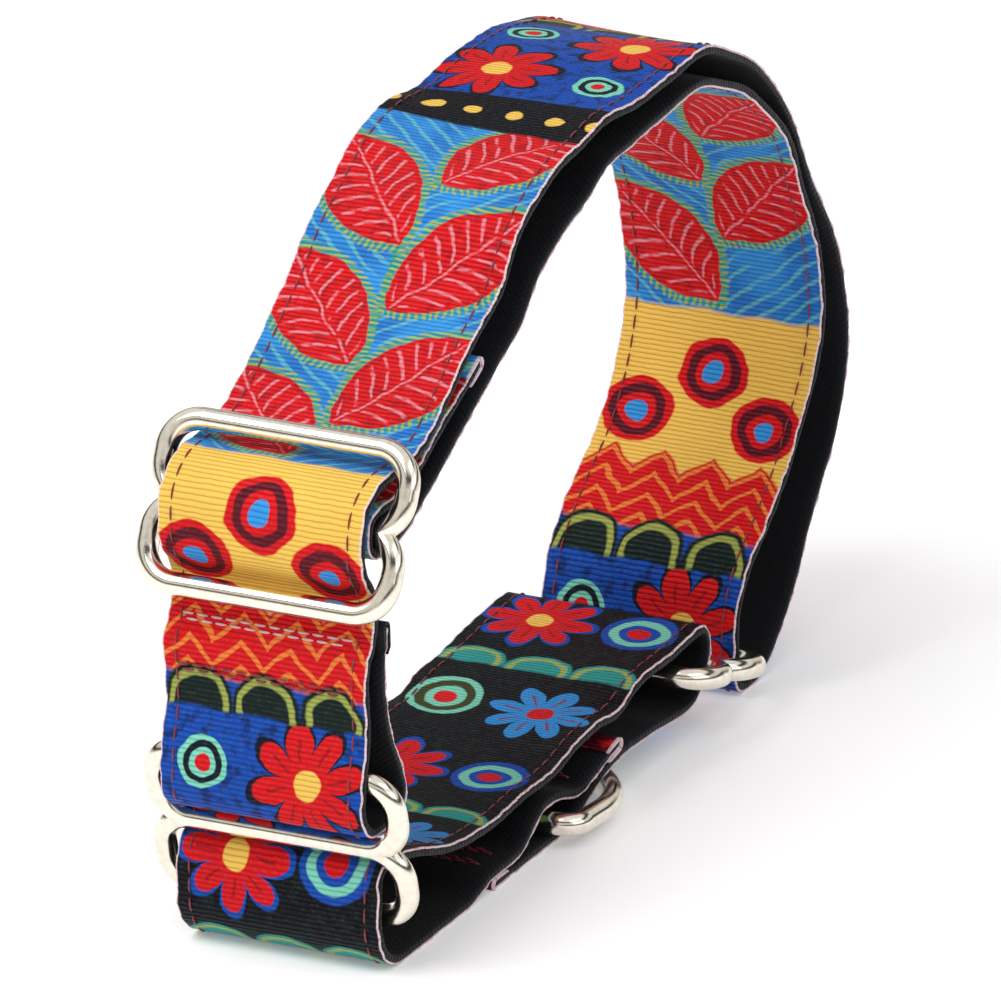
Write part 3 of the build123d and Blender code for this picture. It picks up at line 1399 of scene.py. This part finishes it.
@dataclass
class Stitches:
    """Rows of separate stitches on a strap."""

    line: StrapLine
    pitch: float = 3.5 * MM
    share: float = 0.88
    radius: float = 0.17 * MM
    sides: int = 6
    marks: list[int] = field(default_factory=list)
    mark: int = 0
    points: list[Array] = field(default_factory=list)
    places: list[Array] = field(default_factory=list)
    faces: list[Face] = field(default_factory=list)
    total: int = 0

    def stitch(self, path: Array, place: Array) -> None:
        """Adds one stitch.

        Args:
            path: Points along the thread.
            place: Along and across for each point.
        """
        shape = np.array([0.25, 0.85, 1.0, 1.0, 0.85, 0.25])
        ahead = path[-1] - path[0]
        ahead /= np.linalg.norm(ahead)
        aside = np.cross(ahead, [0.31, 0.52, 0.79])
        aside /= np.linalg.norm(aside)
        other = np.cross(ahead, aside)
        turns = np.arange(self.sides) * 2 * math.pi / self.sides
        spokes = np.cos(turns)[:, None] * aside + np.sin(turns)[:, None] * other
        for centre, thick in zip(path, shape):
            self.points.append(centre + spokes * thick * self.radius)
        for spot in place:
            self.places.append(np.repeat(spot[None], self.sides, 0))
        self.faces += tube_faces(self.sides, len(path), self.total)
        self.marks += [self.mark] * (len(self.faces) - len(self.marks))
        self.total += len(path) * self.sides

    def along_edge(self, first: float, last: float, across: float, height: float) -> None:
        """Adds a row that runs along the strap.

        Args:
            first: Where the row starts along the strap.
            last: Where it ends.
            across: Its place across the strap.
            height: The height of the ribbon's face.
        """
        dips = np.array([-0.12, 0.09, 0.15, 0.15, 0.09, -0.12]) * MM
        for start in np.arange(first, last - self.pitch, self.pitch):
            along = start + np.linspace(0, self.pitch * self.share, 6)
            across_all = np.full(6, across)
            path = self.line.spot(along, across_all, height + dips)
            self.stitch(path, np.column_stack([along, across_all]))

    def across_row(self, along: float, half: float, height: float, side: float,
                   pitch: float) -> None:
        """Adds a row that runs across the strap.

        Args:
            along: Its place along the strap.
            half: Half its length.
            height: The height of the face it is sewn on.
            side: 1 on the ribbon's face and -1 on the webbing's.
            pitch: The length of a stitch with its gap.
        """
        dips = np.array([-0.12, 0.1, 0.18, 0.18, 0.1, -0.12]) * MM
        for start in np.arange(-half, half - pitch * 0.5, pitch):
            across = start + np.linspace(0, pitch * self.share, 6)
            along_all = np.full(6, along)
            path = self.line.spot(along_all, across, height + side * dips)
            self.stitch(path, np.column_stack([along_all, across]))

    def build(self, name: str) -> Thing:
        """Makes one piece of all the stitches so far.

        Args:
            name: The piece's name.

        Returns:
            The piece.
        """
        made = build_mesh(name, np.concatenate(self.points), self.faces,
                          np.concatenate(self.places))
        made.data.polygons.foreach_set("material_index", self.marks)
        return made


def seam_rows(node: str) -> list[Array]:
    """The middle of each row of a CAD seam that crosses the strap.

    Args:
        node: The CAD node.

    Returns:
        The y and z of each row, in metres.
    """
    points = np.array([[v.co.y, v.co.z] for v in frame["nodes"][node].data.vertices])
    rows: list[list[Array]] = []
    for point in points:
        for row in rows:
            if np.linalg.norm(np.mean(row, axis=0) - point) < 1.2 * MM:
                row.append(point)
                break
        else:
            rows.append([point])
    return [np.mean(row, axis=0) for row in rows]


@dataclass
class Closing:
    """How the collar draws in, read from the frame's joints."""

    swing: float = 15.0 * MM
    bar_radius: float = 2.0 * MM

    def __post_init__(self) -> None:
        """Works out the bend of the top and the travel of the far ring."""
        joints = {joint["name"]: joint for joint in frame["joints"]}
        hinge = Vector(joints["cinch"]["pos_m"])
        bar = Vector(joints["right_ring_level"]["pos_m"]) - hinge
        turn = math.radians(joints["cinch"]["range_deg"][1])
        self.travel = -(bar.y * (math.cos(turn) - 1) + bar.z * math.sin(turn))
        slope = Vector((0, 1, -1)).normalized() * self.swing
        self.start, self.end = hinge - slope, hinge + slope
        self.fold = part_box("control_left_fold_ribbon")[0].y
        inner_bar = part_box("right_ring")[0].y + self.bar_radius
        self.keep = 1 - self.travel / (inner_bar - self.fold)

    def attach(self, piece: Thing, follow: Follow) -> None:
        """Bakes a BEND piece's place into its mesh, and parents any other piece to the left
        half.

        Args:
            piece: The soft piece.
            follow: Which of the two it gets; a SHORTEN piece also gets its own copy of its mesh.
        """
        if follow is Follow.BEND:
            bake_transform(piece)
            return
        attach(piece, "left_half")
        if follow is Follow.SHORTEN:
            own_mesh(piece)


# ---- sub-assemblies ----
@dataclass
class Strap:
    """A strap of webbing and printed ribbon with its seams."""

    name: str
    order: Sequence[str]
    follow: Follow
    closing: Closing
    ripple: Ripple
    web_half: float = 0.575 * MM
    ribbon_low: float = 0.6 * MM
    ribbon_high: float = 1.02 * MM
    seam_inset: float = 2.6 * MM

    def __post_init__(self) -> None:
        """Reads the strap's middle line."""
        self.line = StrapLine(self.order, self.ripple)
        LOG.info("%s strap: %.0f mm long", self.name, self.line.length / MM)

    def nodes(self, layer: Layer) -> list[str]:
        """The CAD nodes of one layer."""
        return [f"{length}_{layer.value}" for length in self.order]

    def cloth(self, layer: Layer, finish: Look) -> Thing:
        """Makes one layer of the strap.

        Args:
            layer: Which layer.
            finish: Its material.

        Returns:
            The piece.
        """
        if layer is Layer.WEBBING:
            band = Cloth(self.line, -self.web_half, self.web_half, HALF_WIDTH,
                         0.12 * MM, seed=11)
        else:
            band = Cloth(self.line, self.ribbon_low, self.ribbon_high,
                         HALF_WIDTH - 0.1 * MM, 0.3 * MM, seed=23)
        piece = band.build(f"{self.name}_{layer.value}")
        self.settle(piece, finish, self.nodes(layer))
        return piece

    def settle(self, piece: Thing, finish: Look,
               nodes: Iterable[str]) -> None:
        """Dresses a piece and ties it to the frame.

        Args:
            piece: The piece.
            finish: Its material.
            nodes: The CAD nodes that it stands for.
        """
        piece.data.materials.append(finish)
        self.closing.attach(piece, self.follow)
        if nodes:
            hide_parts(*nodes)

    def end_fold(self, name: str, at_start: bool, finish: Look) -> None:
        """Folds one cut end in.

        Args:
            name: The piece's name.
            at_start: Whether it is the strap's first end.
            finish: The fold's material.
        """
        self.settle(EndFold(self.line, at_start).build(name), finish, ())

    def edge_seams(self, finish: Look, nodes: Sequence[str]) -> None:
        """Sews the ribbon to the webbing along both edges.

        Args:
            finish: The thread's material.
            nodes: The CAD seams that the stitches stand for.
        """
        sewn = Stitches(self.line)
        for side in (-1, 1):
            sewn.along_edge(3 * MM, self.line.length - 3 * MM,
                            side * (HALF_WIDTH - self.seam_inset), self.ribbon_high)
        self.settle(sewn.build(f"{self.name}_edge_stitches"), finish, nodes)

    def cross_seam(self, node: str, low_finish: Look,
                   high_finish: Look, pitch: float) -> None:
        """Sews the rows of one CAD seam across the strap.

        Args:
            node: The CAD seam.
            low_finish: The thread of the lower rows.
            high_finish: The thread of the highest row.
            pitch: The length of a stitch with its gap.
        """
        sewn = Stitches(self.line, radius=0.25 * MM)
        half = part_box(node)[1].x
        rows = sorted(seam_rows(node), key=lambda row: row[1])
        for row in rows:
            along, side = self.line.along_at(row)
            height = self.ribbon_high if side > 0 else -self.web_half
            sewn.mark = int(row is rows[-1])
            for shift in (-0.5 * MM, 0.5 * MM):
                sewn.across_row(along + shift, half + shift, height, side, pitch)
        piece = sewn.build(node.replace("seams", "stitches"))
        self.settle(piece, low_finish, [node])
        piece.data.materials.append(high_finish)


@dataclass
class Hardware:
    """The three cast slides and the D-ring."""

    names: Sequence[str] = HARDWARE

    def dress(self, finish: Look) -> None:
        """Gives the metal its finish.

        Args:
            finish: The metal's material.
        """
        for name in self.names:
            node = frame["nodes"][name]
            node.data.materials.clear()
            node.data.materials.append(finish)
            node.data.polygons.foreach_set(
                "use_smooth", np.ones(len(node.data.polygons), bool))
            LOG.info("%s dressed", name)


def direction(azimuth: float, elevation: float) -> Vector:
    """The direction at an azimuth and an elevation, both in degrees."""
    a, e = math.radians(azimuth), math.radians(elevation)
    return Vector((math.sin(a) * math.cos(e), -math.cos(a) * math.cos(e), math.sin(e)))


def aim(made: Thing, place: Vector, back: Vector) -> None:
    """Puts a lamp or camera at a place.

    Args:
        made: The lamp or camera.
        place: The place.
        back: The direction that its back faces.
    """
    made.location = place
    made.rotation_mode = "QUATERNION"
    made.rotation_quaternion = back.to_track_quat("Z", "Y")


@dataclass
class Studio:
    """The pale floor, the soft light and the camera."""

    azimuth: float = 25.5
    elevation: float = 20.9
    distance: float = 3.2
    fill: float = 0.936
    drop: float = 0.015
    lamp_distance: float = 1.1

    def camera(self) -> None:
        """Aims a long lens at the middle of the collar as it is seen."""
        back = direction(self.azimuth, self.elevation)
        right = direction(self.azimuth + 90, 0)
        up = back.cross(right)
        points = [v.co for o in frame["nodes"].values() for v in o.data.vertices]
        across = [right.dot(p) for p in points]
        high = [up.dot(p) for p in points]
        width = (max(high) - min(high)) / self.fill
        middle = right * ((max(across) + min(across)) / 2)
        middle += up * ((max(high) + min(high)) / 2 - self.drop * width)
        lens = bpy.data.cameras.new("camera")
        lens.lens = lens.sensor_width * self.distance / width
        lens.clip_start, lens.clip_end = 0.1, 50.0
        made = show("camera", lens)
        aim(made, middle + back * self.distance, back)
        bpy.context.scene.camera = made

    def floor(self) -> None:
        """Lays a plain pale floor."""
        mesh = bpy.data.meshes.new("floor")
        reach = 6.0
        mesh.from_pydata([(-reach, -reach, 0), (reach, -reach, 0), (reach, reach, 0),
                          (-reach, reach, 0)], [], [(0, 1, 2, 3)])
        material, _, shader = new_material("pale_floor")
        feed(shader, {
            "Base Color": (0.93, 0.93, 0.94, 1),
            "Roughness": 0.75,
            "Specular IOR Level": 0.15,
            "Emission Color": (0.97, 0.98, 1.0, 1),
            "Emission Strength": 0.22,
        })
        mesh.materials.append(material)
        show("floor", mesh)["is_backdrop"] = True

    def lamp(self, name: str, azimuth: float, elevation: float, size: float, power: float,
             colour: Colour) -> None:
        """Hangs one soft light that points at the collar.

        Args:
            name: The light's name.
            azimuth: Where it hangs round the collar, in degrees.
            elevation: How high, in degrees.
            size: The side of the light.
            power: Its power in watts.
            colour: Its colour.
        """
        light = bpy.data.lights.new(name, "AREA")
        light.size = size
        light.energy = power
        light.color = colour
        back = direction(azimuth, elevation)
        aim(show(name, light), Vector((0, 0, 0.06)) + back * self.lamp_distance, back)

    def light(self) -> None:
        """Sets a bright even surround, a broad key and a weaker fill."""
        bpy.context.scene.view_settings.view_transform = "Standard"
        world = bpy.data.worlds.new("studio")
        bpy.context.scene.world = world
        world.use_nodes = True
        tree = world.node_tree
        ground = tree.nodes["Background"]
        ground.inputs["Strength"].default_value = 0.8
        where = tree.nodes.new("ShaderNodeTexCoord")
        parts = tree.nodes.new("ShaderNodeSeparateXYZ")
        tree.links.new(where.outputs["Generated"], parts.inputs[0])
        height = Field(tree, parts.outputs[2])
        side = Field(tree, parts.outputs[0])
        paint = Paint(tree, "FFFFFF")
        paint.lay("E9E4DA", height.under(0.35, 0.5))
        low_band = (height - 0.16).size().under(0.09, 0.05)
        high_band = (height - 0.6).size().under(0.09, 0.05)
        paint.lay("151416", low_band * side.size().over(0.2, 0.3))
        paint.lay("24211F", high_band * side.over(-0.5, 0.3))
        seen = tree.nodes.new("ShaderNodeLightPath")
        paint.lay("FFFFFF", Field(tree, seen.outputs["Is Camera Ray"]))
        tree.links.new(paint.colour.socket, ground.inputs["Color"])
        self.lamp("key", -25, 55, 0.7, 7.0, (1.0, 0.98, 0.95))
        self.lamp("fill", 80, 35, 0.9, 2.5, (0.95, 0.97, 1.0))


def save_box(sizes: dict[str, list[list[float]]], label: str) -> None:
    """Notes the box of everything that shows now.

    Args:
        sizes: The boxes so far.
        label: What this one is called.
    """
    low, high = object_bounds()
    sizes[label] = [list(low), list(high)]


def main() -> None:
    """Builds the collar piece by piece and dresses it."""
    logging.basicConfig(level=logging.INFO, format="%(name)s: %(message)s")
    sizes: dict[str, list[list[float]]] = {}
    save_box(sizes, "cad")
    studio = Studio()
    studio.camera()
    studio.floor()
    studio.light()
    motifs = Motifs()
    ripple = Ripple()
    closing = Closing()
    strap = Strap("main", MAIN_ORDER, Follow.BEND, closing, ripple)
    control = Strap("control", CONTROL_ORDER, Follow.SHORTEN, closing, ripple)

    first = strap.line.starts["slider_roll"] / MM - MAIN_LEAD
    web = WebbingFinish().make(motifs)
    main_cloth = RibbonFinish("printed_ribbon",
                              main_print(motifs, first, MAIN_REPEAT)).make(motifs)
    fold = control.line.starts["control_left_fold"] / MM
    control_cloth = RibbonFinish("printed_control_ribbon",
                                 control_print(motifs, fold + CONTROL_LEAD,
                                               CONTROL_REPEAT)).make(motifs)
    # painted shade: the red fold's maroon ground is red print darkened as it looks in the shade
    # of the D-ring pocket; its red patches are print
    hem_red_shaded = RibbonFinish("shaded_red_end_fold", hem_print("shaded_red_hem_print", motifs, Dye.MAROON,
                                                     Dye.RED)).make(motifs)
    hem_blue = RibbonFinish("blue_end_fold", hem_print("blue_hem_print", motifs, Dye.SKY,
                                                       Dye.MINT)).make(motifs)
    thread = ThreadFinish("maroon_thread", "8C1726", "540D18").make(motifs)
    pale = ThreadFinish("pale_thread", "E9C9CE", "B5606E").make(motifs)

    for layer, finish in ((Layer.WEBBING, web), (Layer.RIBBON, main_cloth)):
        strap.cloth(layer, finish)
    strap.edge_seams(thread, ["edge_seams_left", "edge_seams_right"])
    strap.cross_seam("ring_end_seams", thread, pale, CROSS_STITCH)
    strap.cross_seam("slider_end_seams", thread, thread, CROSS_STITCH)
    for layer, finish in ((Layer.WEBBING, web), (Layer.RIBBON, control_cloth)):
        control.cloth(layer, finish)
    control.edge_seams(thread, ["edge_seams_control"])
    control.cross_seam("pocket_seams", thread, thread, CROSS_STITCH)
    strap.end_fold("ring_end_fold", True, web)
    strap.end_fold("flap_end_fold", False, hem_blue)
    # the pocket folds take the red fold finish, whose maroon ground is painted shade
    control.end_fold("pocket_upper_end_fold", True, hem_red_shaded)
    control.end_fold("pocket_lower_end_fold", False, hem_red_shaded)
    Hardware().dress(NickelFinish().make(motifs))

    save_box(sizes, "visual")
    LOG.info("sizes: %s", sizes)


if __name__ == "__main__":
    main()
